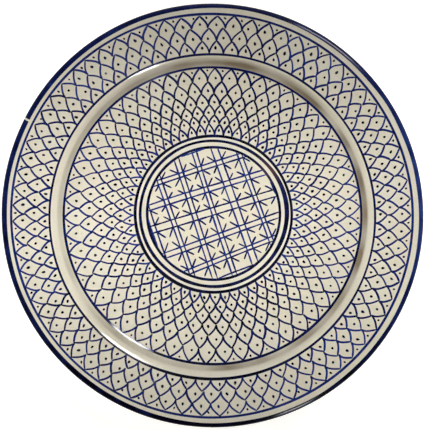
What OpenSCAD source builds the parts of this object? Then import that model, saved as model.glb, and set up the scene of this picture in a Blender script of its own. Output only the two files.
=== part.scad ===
// Hand painted serving plate: a wheel-thrown earthenware dish under a cream tin glaze,
// with cobalt brushwork laid on the glaze: a latticed medallion, six rings of scales in
// the well, three more on the rim, and a banded lip. Millimetres, +Z up, the middle of
// the foot ring's resting face at the origin.

/* [Plate] */
// Diameter over the painted lip
plate_d = 350; // [320:5:380]
// Height of the lip's middle line above the table
lip_h = 34.8; // [33:0.2:38]
// Radius of the rounded lip, over its glaze
lip_r = 3.2; // [2.8:0.1:3.6]
// Upward slope of the rim, in degrees
rim_slope = 11; // [8:0.5:13]
// Radius where the rim bends down into the wall
shoulder_r = 132.6; // [131:0.1:133.4]
// Radius where the wall meets the well
well_r = 122.7; // [121.9:0.1:124]
// Radius of the flat floor in the middle
floor_r = 66.3; // [66.2:0.1:67]
// Height of the flat floor above the table
floor_h = 14; // [13:0.5:15]
// Rise of the well from the flat floor to the wall
well_rise = 7; // [5:0.5:8]

/* [Foot] */
// Outer diameter of the foot ring
foot_d = 190; // [170:5:200]
// Width of the foot ring's wall
foot_w = 8; // [6:0.5:10]
// Height of the foot ring under the body
foot_h = 6.5; // [5:0.5:7.5]
// Radius that rounds the foot ring's two edges
foot_round = 1.2; // [0.8:0.1:1.6]

/* [Glaze and paint] */
// Thickness of the cream glaze
glaze_t = 0.5; // [0.4:0.05:0.8]
// Height of the brushed colour over the glaze
paint_t = 0.3; // [0.2:0.05:0.4]
// Width of a fine brush stroke
stroke_w = 1; // [0.8:0.05:1.2]
// Width across a brush dot
dot_d = 2; // [1.4:0.1:2.2]
// Degrees that the lip's colour goes below the lip's middle line
lip_wrap = 40; // [20:5:60]

/* [Scales] */
// Scales in one ring on the rim
rim_count = 72; // [60:2:80]
// Rings of scales on the rim
rim_rows = 3; // [2:1:3]
// Scales in one ring in the well
well_count = 53; // [44:1:60]
// Rings of scales in the well
well_rows = 6; // [4:1:6]
// How much farther out each ring of scales in the well ends than the one inside it
well_growth = 1.103; // [1.09:0.001:1.11]

// Degrees by which the painter's spacing runs ahead on the rim, as once and twice round waves
rim_drift = [1.95, 0.65, 0.45, -1.1]; // [-2:0.05:2]
// The same in the well
well_drift = [3.1, -1.1, -0.8, 0.6]; // [-4:0.05:4]

/* [Lines] */
// Middle radius of the line inside the lip
rim_line_r = 166.2; // [165.8:0.1:167]
// Width of the line inside the lip
rim_line_w = 1.8; // [1.2:0.1:2.4]
// Middle radius of the dark line on the ledge
ledge_line_r = 134.5; // [134.2:0.1:136]
// Width of the dark line on the ledge
ledge_line_w = 1.5; // [1:0.1:1.5]
// Middle radius of the line round the well
well_line_r = 123.4; // [122.8:0.1:124]
// Width of the line round the well
well_line_w = 1.6; // [1:0.1:1.6]
// Middle radii of the three lines round the medallion
centre_line_r = [65.1, 60.6, 55.2];
// Widths of those three lines
centre_line_w = [2.1, 2, 1.7];

/* [Lattice] */
// Double lines each way
grid_pairs = 5; // [3:2:5]
// Distance from one double line to the next
grid_pitch = 18.4; // [17:0.2:19.6]
// Gap between the middles of the two lines of a pair
grid_gap = 4.1; // [3:0.1:5]
// Turn of the lattice, in degrees
grid_turn = 18; // [0:1:45]
// Length of the dashes in the corners of each square
dash_l = 5.4; // [3:0.2:6]

/* [Hidden] */
$fn = 180;

clay_colour = "burlywood";
glaze_colour = "ivory";
cobalt = "royalblue";
dark_cobalt = "midnightblue";

clear = 0.3;                      // gap left between one stroke and the next
near = 0.01;                      // less than this counts as the same radius
arc_steps = 10;                   // flats round the lip
foot_steps = 3;                   // flats round each edge of the foot ring
wall_steps = 8;                   // flats down the wall
back_steps = 14;                  // flats along the back
well_curve = 2.3;                 // how late the well rises
first_rim_a = -1.65;              // turn of the first scale on the rim
first_well_a = -5.65;             // turn of the first scale in the well
bend_t = 0.55;                    // how high up a scale's side it bends inwards
small_dot = 0.8;                  // size of the outermost dots next to the others
first_dot = 0.42;                 // how far out of its ring an innermost dot lies
ring_dot = 0.2;                   // the same for the rings outside it
last_dot = 0.25;                  // how far in from the last ring's end an outermost dot lies
lattice_w = 0.8 * stroke_w;       // width of a stroke in the lattice
edge_room = 2;                    // how far a square's dashes may reach past the lattice's edge

// The lip's circle touches the rim's slope at its top and the back at its bottom.
lip_cr = plate_d / 2 - paint_t - lip_r;
lip_top_a = 90 + rim_slope;
lip_low_a = rim_slope - 90;
rim_end_r = lip_cr + lip_r * cos(lip_top_a);
rim_end_z = lip_h + lip_r * sin(lip_top_a);
shoulder_z = rim_end_z - (rim_end_r - shoulder_r) * tan(rim_slope);
well_z = floor_h + well_rise;
foot_r = foot_d / 2;
back_end_r = lip_cr + lip_r * cos(lip_low_a);
back_end_z = lip_h + lip_r * sin(lip_low_a);

function smooth(t) = t * t * (3 - 2 * t);
function arc(cr, cz, r, from, to, steps) = [
    for (i = [0:steps]) let (a = from + (to - from) * i / steps) [cr + r * cos(a), cz + r * sin(a)]
];

// Height of the glazed face at a radius: flat floor, hollow well, steep wall, sloping rim.
function wall_part(r) = (r - well_r) / (shoulder_r - well_r);
function face_z(r) =
    r <= floor_r ? floor_h :
    r <= well_r ? floor_h + well_rise * pow((r - floor_r) / (well_r - floor_r), well_curve) :
    r <= shoulder_r ? well_z + (shoulder_z - well_z) * smooth(wall_part(r)) :
    shoulder_z + (r - shoulder_r) * tan(rim_slope);

// Height of the glazed back: one slow curve from the foot ring to the lip.
function back_part(r) = (r - foot_r) / (back_end_r - foot_r);
function back_z(r) = let (u = back_part(r))
    foot_h + (back_end_z - foot_h) * (u + smooth(u)) / 2;

// Where each ring of scales starts and ends.
rim_start_r = ledge_line_r + ledge_line_w / 2 + clear;
rim_stop_r = rim_line_r - rim_line_w / 2 - clear;
well_start_r = floor_r;
well_stop_r = min(well_line_r - well_line_w / 2, well_r) - clear;
rim_feet = [for (k = [0:rim_rows]) rim_start_r + (rim_stop_r - rim_start_r) * k / rim_rows];
well_feet = [for (k = [0:well_rows])
    k == 0 ? well_start_r : well_stop_r * pow(well_growth, k - well_rows)];

// Radii at which the face bends, from the middle out to the rim's end.
face_radii = concat(
    [0], well_feet,
    [for (i = [0:wall_steps]) well_r + (shoulder_r - well_r) * i / wall_steps],
    [rim_end_r]
);

function face_points(down) = [for (r = face_radii) [r, face_z(r) - down]];
function back_points(up) = [for (i = [0:back_steps])
    let (r = foot_r + (back_end_r - foot_r) * i / back_steps) [r, back_z(r) + up]];
function reversed(list) = [for (i = [len(list) - 1:-1:0]) list[i]];
function lip_points(r, from, to) = arc(lip_cr, lip_h, r, from, to, arc_steps);

// A ring of paint between two radii, lying on the straight slopes of the face.
module paint_ring(inner, outer) {
    mid = [for (r = face_radii) if (r > inner + near && r < outer - near) [r, face_z(r)]];
    base = concat([[inner, flat_z(inner)]], mid, [[outer, flat_z(outer)]]);
    top = [for (p = reversed(base)) [p[0], p[1] + paint_t]];
    rotate_extrude() polygon(concat(base, top));
}

// Height of the flats that stand for the face between two of face_radii.
function flat_z(r, i = 0) = r <= face_radii[i + 1] || i + 2 == len(face_radii) ?
    face_z(face_radii[i]) + (face_z(face_radii[i + 1]) - face_z(face_radii[i]))
        * (r - face_radii[i]) / (face_radii[i + 1] - face_radii[i]) :
    flat_z(r, i + 1);

// Slope of the flats at a radius, in degrees.
function flat_slope(r) = atan2(flat_z(r + 0.1) - flat_z(r - 0.1), 0.2);

module clay_body() {
    color(clay_colour) rotate_extrude() polygon(concat(
        [[0, foot_h]],
        [[foot_r - foot_w, foot_h]],
        arc(foot_r - foot_w + foot_round, foot_round, foot_round, 180, 270, foot_steps),
        arc(foot_r - foot_round, foot_round, foot_round, 270, 360, foot_steps),
        back_points(glaze_t),
        lip_points(lip_r - glaze_t, lip_low_a, lip_top_a),
        reversed(face_points(glaze_t))
    ));
}

// The glaze over the face runs round the lip to its outermost line.
module face_glaze() {
    color(glaze_colour) rotate_extrude() polygon(concat(
        face_points(glaze_t),
        reversed(lip_points(lip_r - glaze_t, 0, lip_top_a)),
        lip_points(lip_r, 0, lip_top_a),
        reversed(face_points(0))
    ));
}

// The glaze under the plate: one ring outside the foot and one disc within it.
module back_glaze() {
    color(glaze_colour) {
        rotate_extrude() polygon(concat(
            back_points(0),
            lip_points(lip_r, lip_low_a, 0),
            reversed(lip_points(lip_r - glaze_t, lip_low_a, 0)),
            reversed(back_points(glaze_t))
        ));
        translate([0, 0, foot_h - glaze_t]) cylinder(r = foot_r - foot_w, h = glaze_t);
    }
}

// The band of colour that wraps the lip from just inside it to just under it.
module lip_band() {
    color(dark_cobalt) rotate_extrude() polygon(concat(
        lip_points(lip_r, -lip_wrap, lip_top_a),
        reversed(lip_points(lip_r + paint_t, -lip_wrap, lip_top_a))
    ));
}

module rim_line() {
    color(cobalt) paint_ring(rim_line_r - rim_line_w / 2, rim_line_r + rim_line_w / 2);
}

module ledge_ring() {
    color(dark_cobalt) paint_ring(ledge_line_r - ledge_line_w / 2, ledge_line_r + ledge_line_w / 2);
}

module well_ring() {
    color(dark_cobalt) paint_ring(well_line_r - well_line_w / 2, well_line_r + well_line_w / 2);
}

module centre_ring(i) {
    paint_ring(centre_line_r[i] - centre_line_w[i] / 2, centre_line_r[i] + centre_line_w[i] / 2);
}

module centre_outer_ring() {
    color(dark_cobalt) centre_ring(0);
}

module centre_mid_ring() {
    color(dark_cobalt) centre_ring(1);
}

module centre_inner_ring() {
    color(dark_cobalt) centre_ring(2);
}

// One side of a scale, from its foot at t = 0 to its point at t = 1, seen flat: the
// distance from the scale's own middle line, and the height above its foot.
function side(t, half, h) = [half * cos(90 * t), t * h];
function side_normal(t, half, h) = let (
    n = [h, half * PI / 2 * sin(90 * t)]
) n / norm(n);
function beside(t, half, h, w) = side(t, half, h) + side_normal(t, half, h) * w;
// Where the two sides' edges meet on the middle line, above the point or below it.
function tip(half, h, w) = h + w / side_normal(1, half, h)[1];

// A ring of scales as one closed wavy line, cut to the slope of the face there.
module scale_ring(count, inner, outer, turn, drift) {
    half = PI * (inner + outer) / 2 / count;
    w = stroke_w / 2;
    h = outer - inner - clear - w / side_normal(1, half, outer - inner)[1];
    part_t = acos(1 - w / half) / 90;      // where two neighbours' strokes part
    notch = [half, part_t * h];
    shoulder = beside((1 + part_t) / 2, half, h, w);
    scale_out = [notch, shoulder, [0, tip(half, h, w)], [-shoulder[0], shoulder[1]]];
    right_in = [beside(0, half, h, -w), beside(bend_t, half, h, -w)];
    scale_in = concat(right_in, [[0, tip(half, h, -w)]], [for (p = reversed(right_in)) [-p[0], p[1]]]);
    step = 360 / count;
    outer_edge = [for (k = [0:count - 1], p = scale_out) wrap(p, k * step + turn, step, half, inner, drift)];
    inner_edge = [for (k = [0:count - 1], p = scale_in) wrap(p, k * step + turn, step, half, inner, drift)];
    n = len(outer_edge);
    intersection() {
        translate([0, 0, floor_h]) linear_extrude(2 * lip_h) polygon(
            concat(outer_edge, inner_edge),
            [[for (i = [0:n - 1]) i], [for (i = [0:len(inner_edge) - 1]) n + i]]
        );
        paint_ring(inner, outer);
    }
}

// The painter's even spacing, pulled forward and back round the plate.
function drifted(a, d) = a + d[0] * cos(a) + d[1] * sin(a) + d[2] * cos(2 * a) + d[3] * sin(2 * a);

// Bends a flat point round the plate.
function wrap(p, middle, step, half, inner, drift) = let (
    a = drifted(middle - p[0] / half * step / 2, drift), r = inner + clear / 2 + p[1]
) [r * cos(a), r * sin(a)];

// Turn of ring k, counted so that neighbouring rings are half a scale apart.
function ring_turn(first, count, k) = first + (k % 2) * 180 / count;

module rim_scales() {
    color(cobalt) for (k = [0:rim_rows - 1])
        scale_ring(rim_count, rim_feet[k], rim_feet[k + 1], ring_turn(first_rim_a, rim_count, k), rim_drift);
}

module well_scales() {
    color(cobalt) for (k = [0:well_rows - 1])
        scale_ring(
            well_count, well_feet[k], well_feet[k + 1],
            ring_turn(first_well_a, well_count, k + 1), well_drift
        );
}

// A ring of brush dots, each a low disc lying on the slope.
module dot_ring(count, r, turn, drift, d) {
    for (i = [0:count - 1]) rotate(drifted(i * 360 / count + turn, drift))
        translate([r, 0, flat_z(r)]) rotate([0, -flat_slope(r), 0]) cylinder(d = d, h = paint_t);
}

// Middle of the scale in ring k, which reaches down between the two scales inside it.
// One more ring of small dots fills the gaps between the outermost scales' points.
function cell_r(feet, k) =
    k == 0 ? feet[0] + first_dot * (feet[1] - feet[0]) :
    k == len(feet) - 1 ? feet[k] - last_dot * (feet[k] - feet[k - 1]) :
    feet[k] + ring_dot * (feet[k + 1] - feet[k]);
function cell_d(feet, k) = k == len(feet) - 1 ? small_dot * dot_d : dot_d;

module rim_dots() {
    color(dark_cobalt) for (k = [0:rim_rows])
        dot_ring(
            rim_count, cell_r(rim_feet, k), ring_turn(first_rim_a, rim_count, k),
            rim_drift, cell_d(rim_feet, k)
        );
}

module well_dots() {
    color(dark_cobalt) for (k = [0:well_rows])
        dot_ring(
            well_count, cell_r(well_feet, k), ring_turn(first_well_a, well_count, k + 1),
            well_drift, cell_d(well_feet, k)
        );
}

// The lattice of double lines inside the innermost ring.
grid_r = centre_line_r[2] - centre_line_w[2] / 2 - clear;
half_pairs = (grid_pairs - 1) / 2;
module bar_set() {
    for (k = [-half_pairs:half_pairs], way = [-1, 1])
        translate([0, k * grid_pitch + way * grid_gap / 2])
            square([2 * grid_r, lattice_w], center = true);
}

module centre_grid() {
    color(cobalt) translate([0, 0, floor_h]) rotate(grid_turn) linear_extrude(paint_t) intersection() {
        circle(r = grid_r);
        union() {
            bar_set();
            rotate(90) bar_set();
        }
    }
}

// Four dashes in each square point at its middle and leave it clear.
module centre_dashes() {
    reach = grid_pitch / 2 - grid_gap / 2 - stroke_w - clear;
    color(cobalt) translate([0, 0, floor_h]) rotate(grid_turn)
        for (i = [-half_pairs:half_pairs - 1], j = [-half_pairs:half_pairs - 1])
            for (a = [45:90:315])
                if (norm([i + 0.5, j + 0.5]) * grid_pitch + reach < grid_r + edge_room)
                    translate([(i + 0.5) * grid_pitch, (j + 0.5) * grid_pitch]) rotate(a)
                        translate([reach * sqrt(2) - dash_l - clear, -lattice_w / 2, 0])
                            cube([dash_l, lattice_w, paint_t]);
}

clay_body();
face_glaze();
back_glaze();
lip_band();
rim_line();
rim_scales();
rim_dots();
ledge_ring();
well_ring();
well_scales();
well_dots();
centre_outer_ring();
centre_mid_ring();
centre_inner_ring();
centre_grid();
centre_dashes();
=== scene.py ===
"""A wheel-thrown, hand painted plate: bare clay foot, cream tin glaze and cobalt brushwork.

Every piece is a surface worked out on a grid. A point on the plate is given by its
radius and its angle round the plate, its height comes from the CAD model's own outline,
and hand_thrown() then moves all pieces alike, so that the brushwork stays on the glaze.
"""

import bpy
import numpy as np
from mathutils import Matrix, Vector


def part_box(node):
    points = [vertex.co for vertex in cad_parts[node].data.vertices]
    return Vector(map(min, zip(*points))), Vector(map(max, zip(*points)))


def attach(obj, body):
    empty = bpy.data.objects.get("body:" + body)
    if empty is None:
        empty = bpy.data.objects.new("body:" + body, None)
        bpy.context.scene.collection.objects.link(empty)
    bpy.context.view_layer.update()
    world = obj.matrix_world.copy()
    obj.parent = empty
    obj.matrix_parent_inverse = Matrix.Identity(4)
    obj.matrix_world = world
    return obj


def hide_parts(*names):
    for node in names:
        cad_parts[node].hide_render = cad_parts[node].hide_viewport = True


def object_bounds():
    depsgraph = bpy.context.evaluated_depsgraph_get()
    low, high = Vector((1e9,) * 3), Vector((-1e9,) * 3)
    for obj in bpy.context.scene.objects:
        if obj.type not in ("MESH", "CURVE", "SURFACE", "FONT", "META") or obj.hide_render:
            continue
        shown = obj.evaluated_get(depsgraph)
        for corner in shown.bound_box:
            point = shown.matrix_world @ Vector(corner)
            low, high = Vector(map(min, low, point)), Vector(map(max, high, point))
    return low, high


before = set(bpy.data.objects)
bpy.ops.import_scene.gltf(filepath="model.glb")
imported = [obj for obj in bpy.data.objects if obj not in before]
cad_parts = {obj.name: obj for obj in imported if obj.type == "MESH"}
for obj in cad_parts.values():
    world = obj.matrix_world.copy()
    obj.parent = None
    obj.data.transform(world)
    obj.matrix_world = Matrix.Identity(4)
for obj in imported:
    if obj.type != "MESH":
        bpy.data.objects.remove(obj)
cad_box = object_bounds()

MM = 0.001
TAU = 2 * np.pi
rng = np.random.default_rng(41)

# --- the plate's own sizes, read from the CAD model -------------------------------------


def node_points(name):
    """The points of a CAD node's mesh, as rows of x, y, z."""
    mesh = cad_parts[name].data
    flat = np.zeros(len(mesh.vertices) * 3)
    mesh.vertices.foreach_get("co", flat)
    return flat.reshape(-1, 3)


def ring_radii(name):
    """Inner and outer radius of a CAD node that goes round the plate."""
    p = node_points(name)
    r = np.hypot(p[:, 0], p[:, 1])
    return r.min(), r.max()


def outline_from(name, r_low, r_high, side):
    """Bends of a CAD node's outline between two radii: the highest (side 1) or the lowest
    (side -1) point at each radius. Radii that differ by less than near are one bend."""
    near = 0.05 * MM
    p = node_points(name)
    r = np.hypot(p[:, 0], p[:, 1])
    keep = (r >= r_low) & (r <= r_high)
    steps = np.round(r[keep] / near).astype(int)
    z = p[keep, 2] * side
    bends = np.unique(steps)
    top = np.full(len(bends), -np.inf)
    np.maximum.at(top, np.searchsorted(bends, steps), z)
    return bends * near, top * side


def softened(r_bends, z_bends, r_low, r_high, soft):
    """Straight runs between the bends, then a running mean over the length soft, as a
    melted glaze rounds every bend. Both ends carry on straight."""
    step = 0.1 * MM
    pad = int(soft / step) + 1
    r = np.arange(r_low, r_high, step)
    z = np.interp(r, r_bends, z_bends)
    before = z[0] - (z[1] - z[0]) * np.arange(pad, 0, -1)
    after = z[-1] + (z[-1] - z[-2]) * np.arange(1, pad + 1)
    window = np.hanning(2 * pad + 1)
    z = np.convolve(np.concatenate([before, z, after]), window / window.sum(), "valid")
    return r, z


PLATE_R = cad_box[1][0]
FLOOR_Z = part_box("centre_grid")[0].z
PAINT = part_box("centre_grid")[1].z - FLOOR_Z
RECESS_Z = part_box("back_glaze")[0].z
RECESS_R = 87 * MM
GLAZE = 0.45 * MM

# The lip's section is round: LIP_R is its radius, and its centre lies at LIP_CR, LIP_Z. The
# rim runs into it at RIM_END and the underside at BACK_END, both at the rim's tilt.
glaze = node_points("face_glaze")
glaze_r = np.hypot(glaze[:, 0], glaze[:, 1])
LIP_Z = glaze[glaze_r > glaze_r.max() - 0.02 * MM, 2].min()
LIP_R = glaze[:, 2].max() - LIP_Z
LIP_CR = PLATE_R - PAINT - LIP_R
face_bends = outline_from("face_glaze", 0, LIP_CR - 6 * MM, 1)
on_rim = face_bends[0] > ring_radii("ledge_ring")[1]
RIM_TILT = np.arctan(np.polyfit(face_bends[0][on_rim], face_bends[1][on_rim], 1)[0])
RIM_END = LIP_CR - LIP_R * np.sin(RIM_TILT)
BACK_END = LIP_CR + LIP_R * np.sin(RIM_TILT)
LIP_RISE = LIP_R * np.cos(RIM_TILT)
back_bends = outline_from("back_glaze", RECESS_R + 1 * MM, LIP_CR - 4 * MM, -1)
face_bends = [np.append(face_bends[0], RIM_END), np.append(face_bends[1], LIP_Z + LIP_RISE)]
back_bends = [np.append(back_bends[0], BACK_END), np.append(back_bends[1], LIP_Z - LIP_RISE)]
BACK_START = back_bends[0].min()


def eased(r, start, stop):
    """0 up to a start radius, 1 from a stop radius on, and smooth between (millimetres)."""
    t = np.clip((r / MM - start) / (stop - start), 0, 1)
    return t * t * (3 - 2 * t)


# The well's long curve is rounded most, then the shoulder, and the well's edge least.
FACE_R, FACE_Z = softened(*face_bends, 0, RIM_END, 3.4 * MM)
well_z = softened(*face_bends, 0, RIM_END, 9 * MM)[1]
shoulder_z = softened(*face_bends, 0, RIM_END, 6 * MM)[1]
FACE_Z = well_z + (FACE_Z - well_z) * eased(FACE_R, 110, 117)
FACE_Z = FACE_Z + (shoulder_z - FACE_Z) * eased(FACE_R, 124, 129)
FACE_SLOPE = np.gradient(FACE_Z, FACE_R)
BACK_R, BACK_Z = softened(*back_bends, BACK_START, BACK_END, 3 * MM)


def face_z(r):
    """Height of the glaze's face at a radius."""
    return np.interp(r, FACE_R, FACE_Z)


def back_z(r):
    """Height of the glaze's underside at a radius, outside the foot."""
    return np.interp(r, BACK_R, BACK_Z)


def lip_path():
    """Radius and height of the glaze's skin from the rim over the lip to the underside,
    with its outward normal and the length along it, counted from the top of the lip."""
    rim = FACE_R > RIM_END - 12 * MM
    turn = np.linspace(np.pi / 2 + RIM_TILT, RIM_TILT - np.pi / 2, 60)
    back = BACK_R > LIP_CR - 14 * MM
    r = np.concatenate([FACE_R[rim], LIP_CR + LIP_R * np.cos(turn), BACK_R[back][::-1]])
    z = np.concatenate([FACE_Z[rim], LIP_Z + LIP_R * np.sin(turn), BACK_Z[back][::-1]])
    along = np.concatenate([[0], np.cumsum(np.hypot(np.diff(r), np.diff(z)))])
    dr, dz = np.gradient(r, along), np.gradient(z, along)
    start = along[rim.sum()]
    return along - start, r, z, -dz, dr


LIP_S, LIP_PR, LIP_PZ, LIP_NR, LIP_NZ = lip_path()


def waver(angle, waves, size, seed):
    """A smooth unevenness round the plate: sines of 1 to waves turns with random phases,
    whose root mean square is size."""
    draw = np.random.default_rng(seed)
    n = np.arange(1, waves + 1)
    phase = draw.uniform(0, TAU, waves)
    share = draw.uniform(0.4, 1, waves)
    total = (share[:, None] * np.sin(n[:, None] * np.ravel(angle) + phase[:, None])).sum(0)
    return (size * total / np.sqrt((share ** 2).sum() / 2)).reshape(np.shape(angle))


def bump_at(a, middle, width, size):
    """A smooth swelling of the given size, centred on an angle in degrees."""
    away = (np.degrees(a) - middle + 180) % 360 - 180
    return size * np.exp(-(away / width) ** 2)


# How far the thrown form runs out of true at a few radii, as shifts along X and Y.
# Then the height of the rim's two and three waves, the size of its oval, and the height
# and pitch of the spiral that the fingers left.
OUT_R = np.array([0, 55, 65, 123, 134, 166, 175]) * MM
OUT_X = np.array([0, 0.15, -0.05, -0.28, -0.1, -0.47, 0]) * MM
OUT_Y = np.array([0.75, 0.6, 0, -1.15, -1.15, -0.05, -0.25]) * MM
TWO_WAVES, THREE_WAVES = 0.35 * MM, 0.12 * MM
OVAL = 0.62 * MM
SPIRAL, SPIRAL_PITCH = 0.018 * MM, 6.5 * MM


def hand_thrown(p):
    """Moves points as the potter's hand did: rings run out of true by their radius, the
    rim is a little oval and rises and falls in two and three waves, and a faint spiral is
    left in the face. The foot stays true: all but the waves fade out from 8 to 4 mm up."""
    foot_r, rim_r, rim_w = 95 * MM, 134 * MM, 32 * MM
    x, y, z = p[:, 0], p[:, 1], p[:, 2]
    r = np.hypot(x, y)
    a = np.arctan2(y, x)
    high = np.clip((r - foot_r) / (PLATE_R - foot_r), 0, 1) ** 2
    wave = TWO_WAVES * np.cos(2 * a + 1.1) + THREE_WAVES * np.cos(3 * a + 0.4)
    off_foot = np.clip((z - 4 * MM) / (4 * MM), 0, 1)
    spiral = SPIRAL * np.sin(TAU * r / SPIRAL_PITCH - a) * off_foot
    oval = -OVAL * np.cos(2 * a) * np.clip((r - rim_r) / rim_w, 0, 1) * off_foot
    out = np.empty_like(p)
    out[:, 0] = x + np.interp(r, OUT_R, OUT_X) * off_foot + oval * np.cos(a)
    out[:, 1] = y + np.interp(r, OUT_R, OUT_Y) * off_foot + oval * np.sin(a)
    out[:, 2] = z + high * wave + spiral
    return out


# --- meshes ------------------------------------------------------------------------------


def grid_faces(rows, cols, first=0, wrap_rows=False, wrap_cols=False):
    """Four-sided faces of a grid of points that starts at index first. They face the way
    of the cross product of the step to the next row and the step to the next column."""
    i = np.arange(rows if wrap_rows else rows - 1)
    j = np.arange(cols if wrap_cols else cols - 1)
    i, j = np.meshgrid(i, j, indexing="ij")
    i2, j2 = (i + 1) % rows, (j + 1) % cols
    q = np.stack([i * cols + j, i2 * cols + j, i2 * cols + j2, i * cols + j2], -1)
    return first + q.reshape(-1, 4)


def make_piece(name, points, faces, material, slot, nodes, values=None):
    """Puts points and faces into a smooth mesh that rides on the plate, and stores each
    array in values as an attribute on the points."""
    mesh = bpy.data.meshes.new(name)
    rows = [row for block in faces for row in block.tolist()]
    mesh.from_pydata(hand_thrown(points).tolist(), [], rows)
    mesh.polygons.foreach_set("use_smooth", np.ones(len(mesh.polygons), bool))
    for key, value in (values or {}).items():
        mesh.attributes.new(key, "FLOAT", "POINT").data.foreach_set("value", np.ravel(value))
    mesh.materials.append(material)
    mesh.update()
    piece = bpy.data.objects.new(name, mesh)
    bpy.context.scene.collection.objects.link(piece)
    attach(piece, "root")
    if nodes:
        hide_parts(*nodes)
    return piece


def polar(r, a, z):
    """Points at radius r, angle a and height z, as rows."""
    r, a, z = np.broadcast_arrays(r, a, z)
    return np.stack([r * np.cos(a), r * np.sin(a), z], -1).reshape(-1, 3)


def turned(outline, segments, closed):
    """Turns an outline of (radius, height) about the plate's axis. A closed outline gives
    a ring. An open one starts and ends on the axis, and each end becomes one point."""
    a = np.arange(segments) * TAU / segments
    r, z = outline[:, 0], outline[:, 1]
    if closed:
        points = polar(r[:, None], a[None, :], z[:, None])
        return points, [grid_faces(len(r), segments, 0, True, True)]
    points = polar(r[1:-1, None], a[None, :], z[1:-1, None])
    rows = len(r) - 2
    start, end = len(points), len(points) + 1
    points = np.vstack([points, [[0, 0, z[0]], [0, 0, z[-1]]]])
    j = np.arange(segments)
    j2 = (j + 1) % segments
    last = (rows - 1) * segments
    fan_in = np.stack([np.full(segments, start), j, j2], -1)
    fan_out = np.stack([last + j, np.full(segments, end), last + j2], -1)
    return points, [grid_faces(rows, segments, 0, False, True), fan_in, fan_out]


def on_face(x, y, lift):
    """Points over plan positions x, y, at a height lift over the glaze's face."""
    r = np.hypot(x, y)
    slope = np.interp(r, FACE_R, FACE_SLOPE)
    z = face_z(r) + lift * np.sqrt(1 + slope ** 2)
    return np.stack([x, y, z], -1)


# Cross-section of a brushed line: (share of the half width, height over the glaze). Its
# top is nearly flat, its edges just dip under the glaze, and its keel is hidden in it.
LINE_TOP, LINE_EDGE, KEEL = 0.035 * MM, -0.012 * MM, -0.2 * MM
LINE_SECTION = ((1, LINE_EDGE), (0.7, LINE_TOP), (-0.7, LINE_TOP), (-1, LINE_EDGE), (0, KEEL))


def brushed(x, y, half_w, closed=False):
    """Sweeps the low section of a brushed line along many plan paths at once.
    x, y and half_w have one row per stroke. Each step's section is square to the path."""
    if closed:
        dx = np.roll(x, -1, 1) - np.roll(x, 1, 1)
        dy = np.roll(y, -1, 1) - np.roll(y, 1, 1)
    else:
        dx, dy = np.gradient(x, axis=1), np.gradient(y, axis=1)
    length = np.hypot(dx, dy)
    left_x, left_y = -dy / length, dx / length
    side = np.array([s for s, _ in LINE_SECTION])
    lift = np.array([h for _, h in LINE_SECTION])
    px = x[..., None] + left_x[..., None] * half_w[..., None] * side
    py = y[..., None] + left_y[..., None] * half_w[..., None] * side
    points = on_face(px, py, lift).reshape(-1, 3)
    strokes, steps = x.shape
    n = len(LINE_SECTION)
    one = grid_faces(steps, n, 0, closed, True)[:, ::-1]
    shift = (np.arange(strokes) * steps * n)[:, None, None]
    faces = [(one[None] + shift).reshape(-1, 4)]
    if not closed:
        ends = np.stack([np.arange(n)[::-1], (steps - 1) * n + np.arange(n)])
        faces.append((ends[None] + shift).reshape(-1, n))
    return points, faces


def section_values(per_step):
    """Repeats a value of each step over its section, and gives how near each point of the
    section is to the line's edge."""
    n = len(LINE_SECTION)
    edge = np.array([abs(s) for s, _ in LINE_SECTION])
    return np.repeat(np.ravel(per_step), n), np.tile(edge, per_step.size)


# --- materials ---------------------------------------------------------------------------

# Nearly all of a noise's values lie between these two.
NOISE_LOW, NOISE_HIGH = 0.3, 0.7


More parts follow.
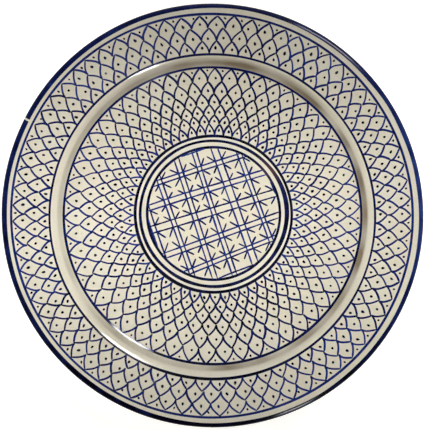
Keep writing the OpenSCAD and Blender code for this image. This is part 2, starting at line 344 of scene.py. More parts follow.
class Shader:
    """A material's node tree with short ways to add and join nodes."""

    def __init__(self, name):
        self.material = bpy.data.materials.new(name)
        self.material.use_nodes = True
        self.nodes = self.material.node_tree.nodes
        self.links = self.material.node_tree.links
        self.surface = self.nodes["Principled BSDF"]
        self.place = self.add("ShaderNodeTexCoord").outputs["Object"]

    def add(self, kind, **settings):
        node = self.nodes.new(kind)
        for key, value in settings.items():
            setattr(node, key, value)
        return node

    def join(self, value, socket):
        if isinstance(value, bpy.types.NodeSocket):
            self.links.new(value, socket)
        else:
            socket.default_value = value

    def noise(self, scale, detail=3, rough=0.5, place=None):
        node = self.add("ShaderNodeTexNoise")
        node.inputs["Scale"].default_value = scale
        node.inputs["Detail"].default_value = detail
        node.inputs["Roughness"].default_value = rough
        self.links.new(place or self.place, node.inputs["Vector"])
        return node.outputs["Fac"]

    def uneven(self, low, high, scale, detail=3, rough=0.5):
        """A number that wanders between low and high with a noise."""
        return self.spread(self.noise(scale, detail, rough), NOISE_LOW, NOISE_HIGH, low, high)

    def attribute(self, name):
        return self.add("ShaderNodeAttribute", attribute_name=name).outputs["Fac"]

    def math(self, operation, *values, clamp=False):
        node = self.add("ShaderNodeMath", operation=operation, use_clamp=clamp)
        for i, value in enumerate(values):
            self.join(value, node.inputs[i])
        return node.outputs[0]

    def spread(self, value, low, high, to_low=0.0, to_high=1.0):
        node = self.add("ShaderNodeMapRange")
        for key, v in zip(("Value", "From Min", "From Max", "To Min", "To Max"),
                          (value, low, high, to_low, to_high)):
            self.join(v, node.inputs[key])
        return node.outputs["Result"]

    def grey(self, value):
        """Makes a grey colour of one number."""
        node = self.add("ShaderNodeCombineColor")
        for socket in node.inputs:
            self.links.new(value, socket)
        return node.outputs[0]

    def mix(self, share, a, b, blend="MIX"):
        node = self.add("ShaderNodeMix", data_type="RGBA", blend_type=blend)
        self.join(share, node.inputs[0])
        for value, socket in ((a, node.inputs[6]), (b, node.inputs[7])):
            self.join(value if isinstance(value, bpy.types.NodeSocket) else (*value, 1), socket)
        return node.outputs[2]

    def bump(self, height, strength, distance, normal=None):
        node = self.add("ShaderNodeBump")
        node.inputs["Strength"].default_value = strength
        node.inputs["Distance"].default_value = distance
        self.join(height, node.inputs["Height"])
        if normal is not None:
            self.links.new(normal, node.inputs["Normal"])
        return node.outputs["Normal"]

    def finish(self, colour, roughness, normal, **numbers):
        self.join(colour, self.surface.inputs["Base Color"])
        self.join(roughness, self.surface.inputs["Roughness"])
        self.links.new(normal, self.surface.inputs["Normal"])
        for key, value in numbers.items():
            self.surface.inputs[key.replace("_", " ")].default_value = value
        return self.material


CREAM = (0.785, 0.735, 0.60)
CREAM_DEEP = (0.73, 0.665, 0.52)
CREAM_COOL = (0.77, 0.745, 0.645)
# Clay-brown tint of the painted shade on the steep wall.
SHADE_TINT = (0.34, 0.285, 0.225)
IRON = (0.16, 0.09, 0.05)
# Brown of a painted reflection, a warm sheen, on thick cobalt lines.
SHEEN_BROWN = (0.11, 0.045, 0.03)
CLAY_RED, CLAY_BUFF = (0.46, 0.26, 0.15), (0.58, 0.37, 0.22)
GROG, PORE = (0.72, 0.55, 0.38), (0.22, 0.12, 0.07)


def cream_glaze(name, warmth, specks):
    """Tin glaze over buff clay: cloudy cream with warm and cool patches, iron specks and
    pinholes, painted shade that darkens it towards a clay-brown tint where the attribute
    thin is set, and a gently rippled, wet-looking skin."""
    s = Shader(name)
    clouds = s.spread(s.noise(9, 4), 0.35, 0.65)
    cool = s.spread(s.noise(23, 3), 0.5, 0.75)
    tone = s.mix(s.math("MULTIPLY", clouds, warmth), CREAM, CREAM_DEEP)
    tone = s.mix(s.math("MULTIPLY", cool, 0.5), tone, CREAM_COOL)
    grain = s.uneven(0.965, 1.02, 420, 2)
    tone = s.mix(1.0, tone, s.grey(grain), "MULTIPLY")
    cells = s.add("ShaderNodeTexVoronoi")
    cells.inputs["Scale"].default_value = specks
    s.links.new(s.place, cells.inputs["Vector"])
    pick = s.add("ShaderNodeSeparateColor")
    s.links.new(cells.outputs["Color"], pick.inputs[0])
    rare = s.math("GREATER_THAN", pick.outputs[0], 0.8)
    size = s.spread(pick.outputs[1], 0, 1, 0.012, 0.045)
    dot = s.math("LESS_THAN", cells.outputs["Distance"], size)
    speck = s.math("MULTIPLY", rare, dot)
    tone = s.mix(s.math("MULTIPLY", speck, 0.55), tone, IRON)
    # Painted shade: where the attribute thin is set on the steep wall, the cream is darkened
    # towards a clay-brown tint.
    painted_shade = s.math("MULTIPLY", s.attribute("thin"), s.uneven(0.75, 1.1, 30, 4), clamp=True)
    tone = s.mix(painted_shade, tone, s.mix(1.0, tone, SHADE_TINT, "MULTIPLY"))
    ripple = s.bump(s.noise(90, 2), 0.05, 0.4 * MM)
    skin = s.bump(s.noise(900, 2), 0.05, 0.1 * MM, ripple)
    pits = s.bump(s.math("MULTIPLY", speck, -1.0), 0.4, 0.1 * MM, skin)
    return s.finish(tone, s.uneven(0.06, 0.13, 60), pits, IOR=1.52)


def cobalt(name, thin, full, black, streak=260, ior=1.55):
    """Cobalt melted into the glaze. The attribute ink runs from 0, a dry brush, to 1, a full
    load: thin blue, then full blue, then near black. The line's edge is paler, brush streaks
    and small grains break the colour up, and a painted reflection, a warm brown sheen, is
    mixed in where its attribute says."""
    s = Shader(name)
    ink = s.attribute("ink")
    edge = s.attribute("edge")
    load = s.math("ADD", ink, s.uneven(-0.16, 0.16, streak, 4, 0.6))
    fade = s.math("MULTIPLY", s.math("POWER", edge, 4.0), 0.5)
    load = s.math("SUBTRACT", load, fade, clamp=True)
    tone = s.mix(s.spread(load, 0.0, 0.55), thin, full)
    tone = s.mix(s.spread(load, 0.55, 1.0), tone, black)
    # Painted reflection: a warm brown sheen mixed into the colour.
    tone = s.mix(s.attribute("painted_sheen"), tone, SHEEN_BROWN)
    ripple = s.bump(s.noise(90, 2), 0.05, 0.4 * MM)
    relief = s.bump(s.noise(1500, 3), 0.08, 0.1 * MM, ripple)
    rough = s.spread(load, 0.0, 1.0, 0.16, 0.08)
    return s.finish(tone, rough, relief, IOR=ior)


def bare_clay(name):
    """Unglazed earthenware: buff to red clay with grog, drag marks of the turning tool
    and darker fired patches."""
    s = Shader(name)
    tone = s.mix(s.spread(s.noise(14, 4), 0.35, 0.65), CLAY_RED, CLAY_BUFF)
    grog = s.spread(s.noise(700, 4, 0.7), 0.42, 0.72)
    tone = s.mix(s.math("MULTIPLY", grog, 0.5), tone, GROG)
    pores = s.spread(s.noise(1400, 2), 0.62, 0.75)
    tone = s.mix(s.math("MULTIPLY", pores, 0.6), tone, PORE)
    rough = s.uneven(0.75, 0.95, 300)
    coarse = s.bump(s.noise(700, 4, 0.7), 0.5, 0.3 * MM)
    fine = s.bump(s.noise(2600, 3), 0.35, 0.1 * MM, coarse)
    return s.finish(tone, rough, fine, IOR=1.45)


face_coat_finish = cream_glaze("cream glaze over the face", 0.55, 75)
back_coat_finish = cream_glaze("thin cream glaze underneath", 1.0, 110)
clay_finish = bare_clay("bare earthenware")
stroke_finish = cobalt(
    "fine cobalt brush", (0.022, 0.048, 0.27), (0.0045, 0.010, 0.095), (0.001, 0.0015, 0.022)
)
line_finish = cobalt(
    "banded cobalt line", (0.022, 0.05, 0.27), (0.0045, 0.010, 0.10), (0.001, 0.001, 0.014)
)
dark_finish = cobalt(
    "heavy cobalt band", (0.03, 0.045, 0.2), (0.007, 0.010, 0.08), (0.001, 0.001, 0.006)
)
dab_finish = cobalt(
    "loaded cobalt dab", (0.02, 0.035, 0.20), (0.004, 0.007, 0.07), (0.001, 0.001, 0.01)
)
lip_finish = cobalt(
    "cobalt round the lip", (0.02, 0.05, 0.24), (0.006, 0.012, 0.085), (0.001, 0.001, 0.009),
    streak=90, ior=1.3
)

# --- clay and glaze ----------------------------------------------------------------------

ROUND = 288
UNDER = 0.3 * MM


def arc(middle_r, middle_z, radius, turn):
    """Points of a round stretch of an outline: the turn is counted from straight outwards
    towards up, in radians."""
    return np.stack([middle_r + radius * np.cos(turn), middle_z + radius * np.sin(turn)], -1)


def face_radii():
    """Radii from the middle to the rim's end, closer together down the wall."""
    return np.concatenate([
        np.linspace(0, 118, 60) * MM, np.linspace(119, 138, 58) * MM,
        np.linspace(139 * MM, RIM_END, 24)
    ])


def clay_outline():
    """The body under its glaze: face, lip, back, and a foot ring with rounded edges whose
    bottom carries the fine grooves of the turning tool, as a cosine of the radius."""
    r = face_radii()
    face = np.stack([r, face_z(r) - UNDER], -1)
    lip = arc(LIP_CR, LIP_Z, LIP_R - UNDER,
              np.linspace(np.pi / 2 + RIM_TILT, RIM_TILT - np.pi / 2, 16))
    back_r = np.linspace(BACK_END - 0.5 * MM, BACK_START, 40)
    back = np.stack([back_r, back_z(back_r) + UNDER], -1)
    foot_side = [[BACK_START, 5.2 * MM], [BACK_START + 0.1 * MM, 3.2 * MM]]
    soft, groove, pitch = 1.4 * MM, 0.10 * MM, 1.1 * MM
    corner = np.linspace(0, np.pi / 2, 6)
    outer = arc(BACK_START - soft, soft, soft, -corner)
    foot_r = np.linspace(BACK_START - 1.8 * MM, RECESS_R + 1.8 * MM, 30)
    grooves = groove * (1 - np.cos(TAU * (foot_r - foot_r[-1]) / pitch)) * 0.5
    bottom = np.stack([foot_r, grooves], -1)
    inner = arc(RECESS_R + soft, soft, soft, -np.pi / 2 - corner)
    ceiling = RECESS_Z + 0.2 * MM
    recess = [[RECESS_R - 0.1 * MM, 3.4 * MM], [RECESS_R, ceiling], [0, ceiling]]
    return np.vstack([face, lip, back, foot_side, outer, bottom, inner, recess])


def face_coat_outline():
    """The glaze over the face as a thin closed skin: out along its top and over the lip to
    the outermost line, and back along its underside."""
    r = face_radii()
    turn = np.linspace(np.pi / 2 + RIM_TILT, 0, 12)[1:]
    top = np.stack([r, face_z(r)], -1)
    over = arc(LIP_CR, LIP_Z, LIP_R, turn)
    under_lip = arc(LIP_CR, LIP_Z, LIP_R - GLAZE, turn[::-1])
    back = r[::-4]
    under = np.stack([back, face_z(back) - GLAZE], -1)
    if under[-1, 0] > 0:
        under = np.vstack([under, [0, FLOOR_Z - GLAZE]])
    return np.vstack([top, over, under_lip, under])


def painted_wall_shade(points):
    """Painted shade on the steep wall, 0 to 1: a band low on the wall with soft
    edges, strongest to the right, and a bell curve over radius and angle at the top."""
    r = np.hypot(points[:, 0], points[:, 1])
    a = np.arctan2(points[:, 1], points[:, 0])
    low = eased(r, 123.4, 125.0) * (1 - eased(r, 127.4, 129.6))
    low = low * (0.60 + 0.30 * np.cos(a - np.radians(20)))
    high = np.exp(-((r / MM - 127.4) / 3.6) ** 2) * bump_at(a, 80, 38, 1.0)
    return np.clip(np.maximum(low, high), 0, 1) * (1 + 0.25 * waver(a, 25, 1, 77))


def coat_face():
    """Makes the face's glaze, with its painted wall shade stored on its points as the attribute
    thin.
    """
    points, faces = turned(face_coat_outline(), ROUND, False)
    make_piece("face_glaze_coat", points, faces, face_coat_finish, "cream_glaze", ["face_glaze"],
               {"thin": painted_wall_shade(points)})


clay_points, clay_faces = turned(clay_outline(), ROUND, False)
make_piece("fired_clay_body", clay_points, clay_faces, clay_finish, "fired_clay", ["clay_body"])
coat_face()


def back_coat():
    """The glaze outside the foot: a thin closed ring. Its lower edge wanders and ends in a
    soft roll, a bell curve of the way up, where the glaze was wiped off the foot."""
    a = np.arange(ROUND) * TAU / ROUND
    u = np.linspace(0, 1, 46)[:, None] ** 1.4
    edge = waver(a, 9, 0.5 * MM, 5) + waver(a, 60, 0.15 * MM, 6)
    start = BACK_START + 1.6 * MM
    r = start + u * (BACK_END - start) + edge * np.exp(-u * 12)
    up_mm = u * 76
    roll = 0.25 * MM * np.exp(-((up_mm - 1.0) / 1.2) ** 2)
    skin = polar(r, a[None], back_z(r) - roll)
    turn = np.linspace(RIM_TILT - np.pi / 2, 0, 12)[1:]
    over = arc(LIP_CR, LIP_Z, LIP_R, turn)
    inside = arc(LIP_CR, LIP_Z, LIP_R - GLAZE, turn[::-1])
    round_lip = np.vstack([over, inside])
    lip = polar(round_lip[:, :1], a[None], round_lip[:, 1:])
    hidden = polar(r[::-3], a[None], back_z(r[::-3]) + GLAZE)
    points = np.vstack([skin, lip, hidden])
    faces = grid_faces(len(points) // ROUND, ROUND, 0, True, True)[:, ::-1]
    return points, [faces]


make_piece("back_glaze_coat", *back_coat(), back_coat_finish, "back_glaze", ["back_glaze"])


def recess_coat_outline():
    """The glaze inside the foot: a thin disc with a rolled edge, a little domed."""
    r = np.linspace(0, RECESS_R - 0.4 * MM, 50)
    pool = 0.25 * MM * np.exp(-((RECESS_R - r) / (2.5 * MM)) ** 2)
    low = RECESS_Z - pool
    top = np.full(len(r), RECESS_Z + GLAZE)
    return np.vstack([np.stack([r, top], -1), np.stack([r[::-1], low[::-1]], -1)])


recess_points, recess_faces = turned(recess_coat_outline(), ROUND, False)
make_piece("recess_glaze_coat", recess_points, recess_faces, back_coat_finish, "back_glaze", [])

# --- banded lines ------------------------------------------------------------------------

RING_STEPS = 540
ring_a = np.arange(RING_STEPS) * TAU / RING_STEPS


def around(middle, width, size):
    """A swelling at an angle in degrees, for each step of a banded line."""
    return bump_at(ring_a, middle, width, size)


def banded_line(name, node, slot, material, waves, ink, extra_w=0.0, shift=0.0, painted_sheen=0.0):
    """A line held against the turning wheel: a circle at the CAD ring's middle radius
    whose width and place waver slightly. Its load of ink, extra half width, shift
    outwards and a painted reflection, a warm brown sheen, are given round the plate. The
    painted sheen stays off the line's outer edge."""
    seed = len(name)
    inner, outer = ring_radii(node)
    r = (inner + outer) / 2 + waver(ring_a, waves, 0.10 * MM, seed) + shift
    half = (outer - inner) / 2 * (1 + waver(ring_a, 12, 0.06, seed + 1)) + extra_w
    x, y = r * np.cos(ring_a), r * np.sin(ring_a)
    points, faces = brushed(x[None], y[None], half[None], closed=True)
    load = ink + waver(ring_a, 40, 0.05, seed + 2)
    ink_values, edge_values = section_values(load)
    inner_side = np.tile([side < 0.9 for side, _ in LINE_SECTION], RING_STEPS)
    # Painted reflection: where the warm brown sheen lies, kept off the line's outer edge.
    sheen_values = section_values(painted_sheen + 0 * ring_a)[0] * inner_side
    values = {"ink": ink_values, "edge": edge_values, "painted_sheen": sheen_values}
    return make_piece(name, points, faces, material, slot, [node], values)


banded_line("blue_line_inside_lip", "rim_line", "line_cobalt", line_finish, 7,
            ink=0.56 + around(60, 30, 0.12), extra_w=0.16 * MM + around(0, 60, 0.12 * MM))
banded_line("ledge_line", "ledge_ring", "dark_cobalt", dark_finish, 5,
            ink=0.78 + around(255, 50, 0.3), extra_w=0.24 * MM + around(268, 30, 0.45 * MM))
banded_line("well_edge_line", "well_ring", "line_cobalt", line_finish, 6,
            ink=0.78 + around(290, 70, 0.2), extra_w=0.26 * MM + around(330, 70, 0.12 * MM))
banded_line("medallion_outer_line", "centre_outer_ring", "dark_cobalt", dark_finish, 5,
            ink=1.0, extra_w=0.24 * MM + around(235, 22, 0.4 * MM))
# The middle and inner lines carry a painted reflection, a warm brown sheen, near 37 degrees.
banded_line("medallion_middle_line", "centre_mid_ring", "dark_cobalt", dark_finish, 5,
            ink=0.92 - around(22, 12, 0.18), extra_w=0.36 * MM + around(6, 30, 0.8 * MM),
            shift=around(8, 30, 0.85 * MM), painted_sheen=around(38, 9, 0.7))
banded_line("medallion_inner_line", "centre_inner_ring", "line_cobalt", dark_finish, 5,
            ink=0.92 - around(36, 9, 0.25), extra_w=0.34 * MM + around(10, 30, 0.1 * MM),
            painted_sheen=around(37, 9, 0.45))


def lip_band():
    """The brushed lip: a low section carried along the lip's own path, wider to the left
    and at the lower left, ragged underneath, with a bare slit where the brush was lifted.
    The section rises as the root of a sine across the band, and its keel is hidden."""
    slit, slit_gap = np.radians(152.4), np.radians(0.55)
    a = slit + np.radians(0.25) + np.linspace(0, TAU - slit_gap, RING_STEPS)
    width = 4.5 * MM - 0.7 * MM * np.cos(a - np.radians(345)) + bump_at(a, 235, 20, 0.8 * MM)
    width = width - bump_at(a, 82, 24, 0.8 * MM)
    width = width + waver(a, 24, 0.10 * MM, 31)
    on_top = LIP_S < 1.5 * MM
    s_in = np.interp(width - PLATE_R, -LIP_PR[on_top][::-1], LIP_S[on_top][::-1])
    s_out = 7.2 * MM + waver(a, 14, 0.5 * MM, 32) + waver(a, 90, 0.2 * MM, 33)
    u = 0.5 - 0.5 * np.cos(np.linspace(0, np.pi, 15))
    s = s_in[:, None] * (1 - u) + s_out[:, None] * u
    lift = 0.14 * MM * np.sqrt(np.sin(np.pi * np.clip(u, 0.0, 1.0))) - 0.03 * MM
    keel = s[:, [12, 8, 4]]
    s = np.concatenate([s, keel], 1)
    lift = np.concatenate([lift, np.full(keel.shape[1], -0.25 * MM)])
    r = np.interp(s, LIP_S, LIP_PR) + np.interp(s, LIP_S, LIP_NR) * lift
    z = np.interp(s, LIP_S, LIP_PZ) + np.interp(s, LIP_S, LIP_NZ) * lift
    n = len(lift)
    points = polar(r, a[:, None], z)
    faces = grid_faces(RING_STEPS, n, 0, False, True)[:, ::-1]
    ends = np.stack([np.arange(n)[::-1], (RING_STEPS - 1) * n + np.arange(n)])
    ink = 0.72 - bump_at(a, 5, 34, 0.5) + bump_at(a, 272, 66, 0.36) - bump_at(a, 130, 50, 0.12)
    ink = ink + waver(a, 60, 0.07, 34)
    edge = 0.6 * np.abs(np.concatenate([2 * u - 1, np.zeros(keel.shape[1])]))
    values = {"ink": np.repeat(ink, n), "edge": np.tile(edge, RING_STEPS)}
    return points, [faces, ends], values


lip_points, lip_faces, lip_values = lip_band()
make_piece("painted_lip", lip_points, lip_faces, lip_finish, "lip_cobalt", ["lip_band"], lip_values)

# --- scales ------------------------------------------------------------------------------

RIM_ROWS, WELL_ROWS = 3, 6
WELL_GROWTH = 1.103

rim_start = ring_radii("ledge_ring")[1] - 0.4 * MM
rim_stop = ring_radii("rim_line")[0] - 0.5 * MM
rim_feet = np.linspace(rim_start, rim_stop, RIM_ROWS + 1)
well_stop = ring_radii("well_ring")[0] + 0.1 * MM
well_feet = well_stop * WELL_GROWTH ** (np.arange(WELL_ROWS + 1.0) - WELL_ROWS)
well_feet[0] = ring_radii("centre_outer_ring")[1] - 0.2 * MM

# The two fields of scales: radii of the feet of each row and of the last points, scales in
# a row, the first scale's angle, 1 where the first row is half a scale on, and how the
# spacing drifts round the plate (degrees).
RIM = {"feet": rim_feet, "count": 72, "first": -1.65, "parity": 0,
       "drift": (1.95, 0.65, 0.45, -1.1)}
WELL = {"feet": well_feet, "count": 53, "first": -5.65, "parity": 1,
        "drift": (3.1, -1.1, -0.8, 0.6)}


def drifted(degrees, drift):
    """The painter's even spacing, pulled forward and back round the plate by waves that go
    round once and twice. Takes degrees and gives radians."""
    a = np.radians(degrees)
    moved = drift[0] * np.cos(a) + drift[1] * np.sin(a)
    moved = moved + drift[2] * np.cos(2 * a) + drift[3] * np.sin(2 * a)
    return np.radians(degrees + moved)


def row_turn(first, count, k):
    """Angle of a row's first scale: every second row is half a scale on."""
    return first + (k % 2) * 180 / count


STROKE_STEPS = 8


def scale_strokes(feet, count, first, parity, drift, half_w):
    """Both sides of every scale, as plan paths. With t from 0 at the foot to 1 at the
    point, a side lies half a scale times cos(90 t) from the scale's middle and t of the
    row's height above its foot. Feet, points and bulge each miss by a little."""
    step = 360 / count
    t = np.linspace(0, 1, STROKE_STEPS)
    paths = []
    for k in range(len(feet) - 1):
        height = feet[k + 1] - feet[k]
        foot_miss = rng.normal(0, 0.035, (count, 1))
        point_miss = rng.normal(0, 0.045, (count, 1))
        rise = rng.normal(0, 0.03, (count, 1))
        for side in (-1, 1):
            miss = foot_miss if side < 0 else np.roll(foot_miss, -1, 0)
            bulge = rng.normal(0, 0.03, (count, 1))
            reach = 1 + rng.uniform(-0.02, 0.05, (count, 1)) + rise
            across = side * 0.5 * np.cos(np.pi / 2 * t) * (1 + bulge * np.sin(np.pi * t))
            across = across + miss * (1 - t) + point_miss * t
            turn = row_turn(first, count, k + parity) + np.arange(count)[:, None] * step
            a = drifted(turn + across * step, drift)
            r = feet[k] + height * t * reach + rng.normal(0, 0.12 * MM, (count, 1)) * (1 - t)
            paths.append((r * np.cos(a), r * np.sin(a), a, np.full_like(a, k)))
    x, y, a, row = (np.concatenate([p[i] for p in paths]) for i in range(4))
    swell = 1 + 0.22 * np.exp(-(t / 0.12) ** 2) + 0.12 * np.exp(-((1 - t) / 0.1) ** 2)
    taper = np.where((t == 0) | (t == 1), 0.55, 1)
    heavy = rng.normal(1, 0.09, (len(x), 1))
    return x, y, half_w * heavy * swell * taper, a, row, t


def loaded(a, starts, low, high):
    """Ink left in the brush: full just after each refill at an angle in degrees, and
    running dry towards the next one, going round with the angle."""
    deg = np.degrees(a) % 360
    starts = np.sort(starts)
    at = np.searchsorted(starts, deg, "right") - 1
    begin = np.where(at < 0, starts[-1] - 360, starts[at])
    end = np.where(at + 1 < len(starts), starts[(at + 1) % len(starts)], starts[0] + 360)
    used = (deg - begin) / (end - begin)
    return high - (high - low) * used ** 0.5


def paint_scales(name, node, field, half_w, ink_round, thin_feet=0):
    """Makes a field's strokes. Each starts and ends in a drop of more ink. thin_feet 1 lets
    the innermost feet run dry and makes the strokes finer to the left and right."""
    x, y, w, a, row, t = scale_strokes(**field, half_w=half_w)
    points, faces = brushed(x, y, w * (1 - 0.07 * thin_feet * np.cos(2 * a)))
    ink = ink_round(a, row) + rng.normal(0, 0.06, (len(x), 1))
    ink = ink + 0.20 * np.exp(-(t / 0.16) ** 2) + 0.14 * np.exp(-((1 - t) / 0.14) ** 2)
    ink = ink - 0.3 * thin_feet * (row == 0) * (1 - t) ** 2
    ink_values, edge_values = section_values(ink)
    make_piece(name, points, faces, stroke_finish, "brush_cobalt", [node],
               {"ink": ink_values, "edge": edge_values})


def rim_ink(a, row):
    """Ink on the rim: four refills, and a little less in each row outwards."""
    return loaded(a, [68, 140, 208, 325], 0.42, 0.86) + 0.04 * (1 - row)


def well_ink(a, row):
    """Ink in the well: seven refills, most in the middle rows and towards top and bottom."""
    middle = np.exp(-((row - 2.2) / 1.8) ** 2)
    refilled = loaded(a, [10, 62, 98, 160, 205, 262, 300], 0.50, 0.74)
    return refilled + 0.2 * middle - 0.18 * np.cos(2 * a)


paint_scales("rim_scale_strokes", "rim_scales", RIM, 0.87 * MM, rim_ink)
paint_scales("well_scale_strokes", "well_scales", WELL, 0.84 * MM, well_ink, 1)

# --- dabs --------------------------------------------------------------------------------

# A dab's two rings of points: (share of its size, height over the glaze).
DAB_SIDES = 8
DAB_POINTS = 2 * DAB_SIDES + 2
DAB_TOP = 0.09 * MM
DAB_RINGS = ((0.6, 0.07 * MM), (1.0, -0.02 * MM))


def dabs(x, y, lean, length, width):
    """Low drops of paint: two rings of points round a raised middle, closed underneath.
    A dab is an oval of the given length and width, blunter at one end, turned by lean."""
    q = np.arange(DAB_SIDES) * TAU / DAB_SIDES
    blunt = 1 - 0.25 * np.cos(q)
    rings = []
    for share, _ in DAB_RINGS:
        u = share * np.cos(q) * length[:, None] / 2
        v = share * np.sin(q) * blunt * width[:, None] / 2
        rings.append((u, v))
    zero = np.zeros((len(x), 1))
    u = np.concatenate([zero, rings[0][0], rings[1][0], zero], 1)
    v = np.concatenate([zero, rings[0][1], rings[1][1], zero], 1)
    heights = [np.full(DAB_SIDES, height) for _, height in DAB_RINGS]
    lift = np.concatenate([[DAB_TOP], *heights, [KEEL]])
    c, s = np.cos(lean)[:, None], np.sin(lean)[:, None]
    points = on_face(x[:, None] + u * c - v * s, y[:, None] + u * s + v * c, lift).reshape(-1, 3)
    j = np.arange(DAB_SIDES)
    j2 = (j + 1) % DAB_SIDES
    inner, inner2 = 1 + j, 1 + j2
    outer, outer2 = inner + DAB_SIDES, inner2 + DAB_SIDES
    top = np.stack([np.zeros(DAB_SIDES, int), inner, inner2], -1)
    slope = np.stack([inner, outer, outer2, inner2], -1)
    under = np.stack([outer2, outer, np.full(DAB_SIDES, DAB_POINTS - 1)], -1)
    shift = (np.arange(len(x)) * DAB_POINTS)[:, None, None]
    faces = [(top[None] + shift).reshape(-1, 3), (slope[None] + shift).reshape(-1, 4),
             (under[None] + shift).reshape(-1, 3)]
    edge = np.concatenate([[0], np.full(DAB_SIDES, 0.6), np.full(DAB_SIDES, 1.0), [0]])
    return points, faces, np.tile(edge, len(x))


def cell_radii(feet):
    """Middle radius of each row's scales, which reach down between the scales inside them,
    and of the gaps between the outermost points."""
    inner, outer = feet[:-1], feet[1:]
    middle = inner + 0.24 * (outer - inner)
    middle[0] = inner[0] + 0.42 * (outer[0] - inner[0])
    return np.append(middle, outer[-1] - 0.22 * (outer[-1] - inner[-1]))


def place_dabs(feet, count, first, parity, drift, length, width, lean):
    """Place, lean, length and width of a field's dabs: one in the middle of each scale and
    of each gap beyond the last row, where they are smaller. All miss by a little."""
    xs, ys, leans, longs, wides = [], [], [], [], []
    for k, radius in enumerate(cell_radii(feet)):
        turn = row_turn(first, count, k + parity) + np.arange(count) * 360 / count
        a = drifted(turn + rng.normal(0, 0.25, count), drift)
        r = radius + rng.normal(0, 0.35 * MM, count)
        small = 0.8 if k == len(feet) - 1 else 1.0
        xs.append(r * np.cos(a))
        ys.append(r * np.sin(a))
        leans.append(a + rng.normal(lean, 0.3, count))
        longs.append(small * length * rng.uniform(0.75, 1.2, count))
        wides.append(small * width * rng.uniform(0.85, 1.15, count))
    return [np.concatenate(values) for values in (xs, ys, leans, longs, wides)]


def paint_dabs(name, node, field, length, width, lean):
    """Makes a field's dabs, each with its own load of ink."""
    x, y, leans, longs, wides = place_dabs(**field, length=length, width=width, lean=lean)
    points, faces, edge = dabs(x, y, leans, longs, wides)
    ink = np.repeat(0.88 + rng.normal(0, 0.12, len(x)), DAB_POINTS)
    make_piece(name, points, faces, dab_finish, "dot_cobalt", [node],
               {"ink": ink, "edge": edge * 0.5})


paint_dabs("rim_dabs", "rim_dots", RIM, 3.3 * MM, 2.3 * MM, 0.25)
paint_dabs("well_dabs", "well_dots", WELL, 2.9 * MM, 2.3 * MM, 0.2)

# --- medallion ---------------------------------------------------------------------------

# Double lines of the lattice: offset from the middle, gap between the two lines
# (millimetres) and turn (degrees).
NEAR_LEVEL = (
    (38.5, 3.9, 18.2), (20.1, 4.5, 17.4), (1.6, 5.9, 16.9), (-19.5, 4.5, 20.0), (-37.7, 3.9, 22.0)
)
NEAR_UPRIGHT = (
    (-33.5, 3.8, -70.8), (-15.4, 4.1, -72.1), (0.8, 3.9, -71.8), (18.8, 5.4, -70.4),
    (37.3, 3.6, -69.8)
)
# Single lines near the edge: offset (millimetres) and turn (degrees).
EDGE_LINES = ((-52.0, 21.6), (53.4, 18.5), (-49.1, -71.7), (-53.0, -71.7), (54.1, -66.6))
# The middle near-level pair was painted first and has more ink.
LOADED_LINES, LOADED_PAIR = (4, 5), 0.25
INNER_LINE = ring_radii("centre_inner_ring")[0]


def lattice_lines(pairs):
    """Each single line of a set of double lines, as its offset and its turn in radians."""
    return [(MM * (middle + half * gap / 2), np.radians(turn))
            for middle, gap, turn in pairs for half in (-1, 1)]


def lattice_paths(lines, steps):
    """Each line's plan path from edge to edge of the medallion: straight, with a slow bow
    and a faint tremor."""
    u = np.linspace(-1, 1, steps)
    x, y = [], []
    for offset, turn in lines:
        reach = np.sqrt(INNER_LINE ** 2 - offset ** 2) + 0.3 * MM
        bow = rng.normal(0, 0.25 * MM) * (1 - u ** 2) + rng.normal(0, 0.12 * MM) * np.sin(np.pi * u)
        along, across = reach * u, offset + bow
        x.append(along * np.cos(turn) - across * np.sin(turn))
        y.append(along * np.sin(turn) + across * np.cos(turn))
    return np.array(x), np.array(y)


def crossing(line_a, line_b):
    """Where two lines cross, each given by its offset from the middle and its turn."""
    (pa, ta), (pb, tb) = line_a, line_b
    normals = np.array([[-np.sin(ta), np.cos(ta)], [-np.sin(tb), np.cos(tb)]])
    return np.linalg.solve(normals, np.array([pa, pb]))


def with_outside(pairs):
    """Adds one double line beyond each end of a set, outside the medallion, so that the
    cut squares at its edge have all four corners."""
    first, last = pairs[0], pairs[-1]
    step = (last[0] - first[0]) / (len(pairs) - 1)
    return ((first[0] - step, *first[1:]),) + tuple(pairs) + ((last[0] + step, *last[1:]),)


def facing_lines(first, second):
    """The two single lines that face each other between two neighbouring double lines."""
    (middle_a, gap_a, turn_a), (middle_b, gap_b, turn_b) = first, second
    return [(MM * (middle_a + gap_a / 2), np.radians(turn_a)),
            (MM * (middle_b - gap_b / 2), np.radians(turn_b))]


def dash_paths(steps):
    """Four strokes in each square of the lattice, from near a corner towards its middle,
    which stays clear. A stroke that would leave the medallion is left out."""
    level, upright = with_outside(NEAR_LEVEL[::-1]), with_outside(NEAR_UPRIGHT)
    starts, ends = [], []
    for rows in map(facing_lines, level, level[1:]):
        for cols in map(facing_lines, upright, upright[1:]):
            corners = np.array([crossing(a, b) for a in rows for b in cols])
            middle = corners.mean(0) + rng.normal(0, 0.35 * MM, 2)
            for corner in corners:
                begin = corner + (middle - corner) * rng.uniform(0.0, 0.08)
                stop = corner + (middle - corner) * rng.uniform(0.68, 0.84)
                inside = max(np.hypot(*begin), np.hypot(*stop)) < INNER_LINE - 0.6 * MM
                if inside:
                    starts.append(begin)
                    ends.append(stop)
    starts, ends = np.array(starts), np.array(ends)
    u = np.linspace(0, 1, steps)
    bow = rng.normal(0, 0.12 * MM, (len(starts), 1)) * np.sin(np.pi * u)
    way = ends - starts
    side = np.stack([-way[:, 1], way[:, 0]], -1) / np.hypot(way[:, 0], way[:, 1])[:, None]
    x = starts[:, :1] + way[:, :1] * u + side[:, :1] * bow
    y = starts[:, 1:] + way[:, 1:] * u + side[:, 1:] * bow
    return x, y, u


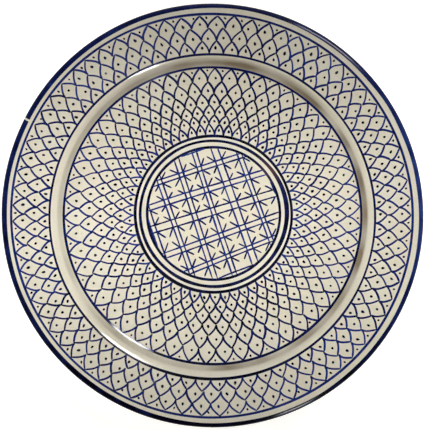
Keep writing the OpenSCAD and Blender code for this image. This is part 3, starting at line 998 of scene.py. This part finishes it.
def paint_lattice():
    """Makes the lattice: its lines tremble in width, taper at their ends and run dry in
    places."""
    steps = 26
    edge_lines = [(MM * offset, np.radians(turn)) for offset, turn in EDGE_LINES]
    lines = lattice_lines(NEAR_LEVEL) + lattice_lines(NEAR_UPRIGHT) + edge_lines
    x, y = lattice_paths(lines, steps)
    u = np.linspace(-1, 1, steps)
    seeds = rng.integers(0, 9999, len(x))
    tremble = np.array([waver(u * 3, 6, 0.1, s) for s in seeds])
    half = 0.74 * MM * (1 + tremble) * np.where(np.abs(u) > 0.99, 0.6, 1)
    points, faces = brushed(x, y, half)
    dry = np.array([waver(u * 2, 4, 0.10, s + 1) for s in seeds])
    first_painted = np.isin(np.arange(len(x)), LOADED_LINES)[:, None]
    ink = 0.50 + rng.normal(0, 0.07, (len(x), 1)) + dry + LOADED_PAIR * first_painted
    ink_values, edge_values = section_values(ink)
    make_piece("lattice_lines", points, faces, stroke_finish, "brush_cobalt", ["centre_grid"],
               {"ink": ink_values, "edge": edge_values})


def paint_dashes():
    """Makes the dashes, fuller in the middle and with more ink towards their stop."""
    x, y, u = dash_paths(7)
    body = 1 - 0.45 * np.abs(2 * u - 1) ** 4
    half = 0.77 * MM * rng.normal(1, 0.1, (len(x), 1)) * body
    points, faces = brushed(x, y, half)
    ink = 0.62 + 0.25 * u + rng.normal(0, 0.08, (len(x), 1))
    ink_values, edge_values = section_values(ink)
    make_piece("corner_dashes", points, faces, stroke_finish, "dot_cobalt", ["centre_dashes"],
               {"ink": ink_values, "edge": edge_values})


paint_lattice()
paint_dashes()

# --- floor, light and camera -------------------------------------------------------------


def pale_floor():
    """A wide flat floor just under the foot, nearly white and evenly bright."""
    mesh = bpy.data.meshes.new("floor")
    half, low = 6.0, -0.05 * MM
    corners = [(-half, -half, low), (half, -half, low), (half, half, low), (-half, half, low)]
    mesh.from_pydata(corners, [], [(0, 1, 2, 3)])
    s = Shader("pale floor")
    tone = s.mix(s.uneven(0.0, 1.0, 3), (0.93, 0.93, 0.925), (0.955, 0.955, 0.95))
    flat = s.bump(s.noise(400, 2), 0.02, 0.2 * MM)
    mesh.materials.append(s.finish(tone, 0.8, flat, Emission_Strength=0.55))
    floor = bpy.data.objects.new("floor", mesh)
    bpy.context.scene.collection.objects.link(floor)


def aimed(direction, distance, target):
    """Place and turn of something that looks at target from a direction."""
    place = Vector(target) + Vector(direction).normalized() * distance
    look = (Vector(target) - place).to_track_quat("-Z", "Y").to_matrix().to_4x4()
    return Matrix.Translation(place) @ look


def softbox(name, azimuth, elevation, distance, size, power, at=(0, 0), spread=180,
            mirrored=None):
    """A rectangular light that faces the place at on the plate, at an azimuth round it and
    an elevation above the floor, both in degrees. spread is the width of its beam.
    mirrored True is a panel that only shows as a glint, False is one that leaves none."""
    light = bpy.data.lights.new(name, "AREA")
    light.shape = "RECTANGLE"
    light.size, light.size_y = size
    light.energy = power
    light.spread = np.radians(spread)
    a, e = np.radians(azimuth), np.radians(elevation)
    direction = (np.cos(a) * np.cos(e), np.sin(a) * np.cos(e), np.sin(e))
    box = bpy.data.objects.new(name, light)
    box.matrix_world = aimed(direction, distance, (*at, 20 * MM))
    box.visible_diffuse = mirrored is not True
    box.visible_glossy = mirrored is not False
    bpy.context.scene.collection.objects.link(box)


def camera():
    """Looks down the plate's axis from a little above and to the right of it, from far
    enough away that lip and floor show at nearly one scale."""
    distance, field_w, film_w = 3.0, 0.3544, 36
    data = bpy.data.cameras.new("camera")
    data.sensor_width = film_w
    data.lens = film_w * distance / field_w
    data.clip_end = 20
    lean, toward = np.radians(5.6), np.radians(57)
    flat = np.sin(lean)
    direction = Vector((flat * np.cos(toward), flat * np.sin(toward), np.cos(lean)))
    target = Vector((2.6 * MM, 1.0 * MM, LIP_Z))
    z = direction
    x = Vector((0, 1, 0)).cross(z).normalized()
    y = z.cross(x)
    turn = Matrix((x, y, z)).transposed().to_4x4()
    eye = bpy.data.objects.new("camera", data)
    eye.matrix_world = Matrix.Translation(target + direction * distance) @ turn
    bpy.context.scene.collection.objects.link(eye)
    bpy.context.scene.camera = eye


pale_floor()
softbox("glint panel upper right", 56, 51, 1.5, (0.34, 0.55), 14, mirrored=True)
softbox("glint panel lower right", 287, 45, 1.5, (0.15, 0.55), 7.5, mirrored=True)
softbox("key upper right", 56, 57, 1.5, (0.40, 0.09), 4.6, mirrored=False)
softbox("key lower right", 295, 57, 1.5, (0.18, 0.09), 2.4, mirrored=False)
NEAR_BEAM = {"size": (0.2, 0.2), "spread": 25, "mirrored": False}
FAR_BEAM = {"size": (0.15, 0.15), "spread": 17, "mirrored": False}
softbox("beam from left", 180, 35, 0.9, power=0.053, at=(-0.07, -0.03), **NEAR_BEAM)
softbox("beam from right", 0, 35, 0.9, power=0.073, at=(0.07, -0.03), **NEAR_BEAM)
softbox("far beam from left", 180, 35, 0.9, power=0.034, at=(0.12, 0), **FAR_BEAM)
softbox("far beam from right", 0, 35, 0.9, power=0.039, at=(-0.12, 0), **FAR_BEAM)
softbox("soft fill left", 180, 50, 0.45, (0.3, 0.3), 0.43, mirrored=False)
softbox("soft fill right", 0, 50, 0.45, (0.3, 0.3), 0.19, mirrored=False)
softbox("soft fill top", 90, 30, 1.3, (0.9, 0.6), 1.12)
world = bpy.data.worlds.new("soft room")
bpy.context.scene.world = world
world.use_nodes = True
world.node_tree.nodes["Background"].inputs[0].default_value = (1, 0.99, 0.97, 1)
world.node_tree.nodes["Background"].inputs[1].default_value = 0.05
bpy.context.scene.view_settings.view_transform = "Standard"
camera()
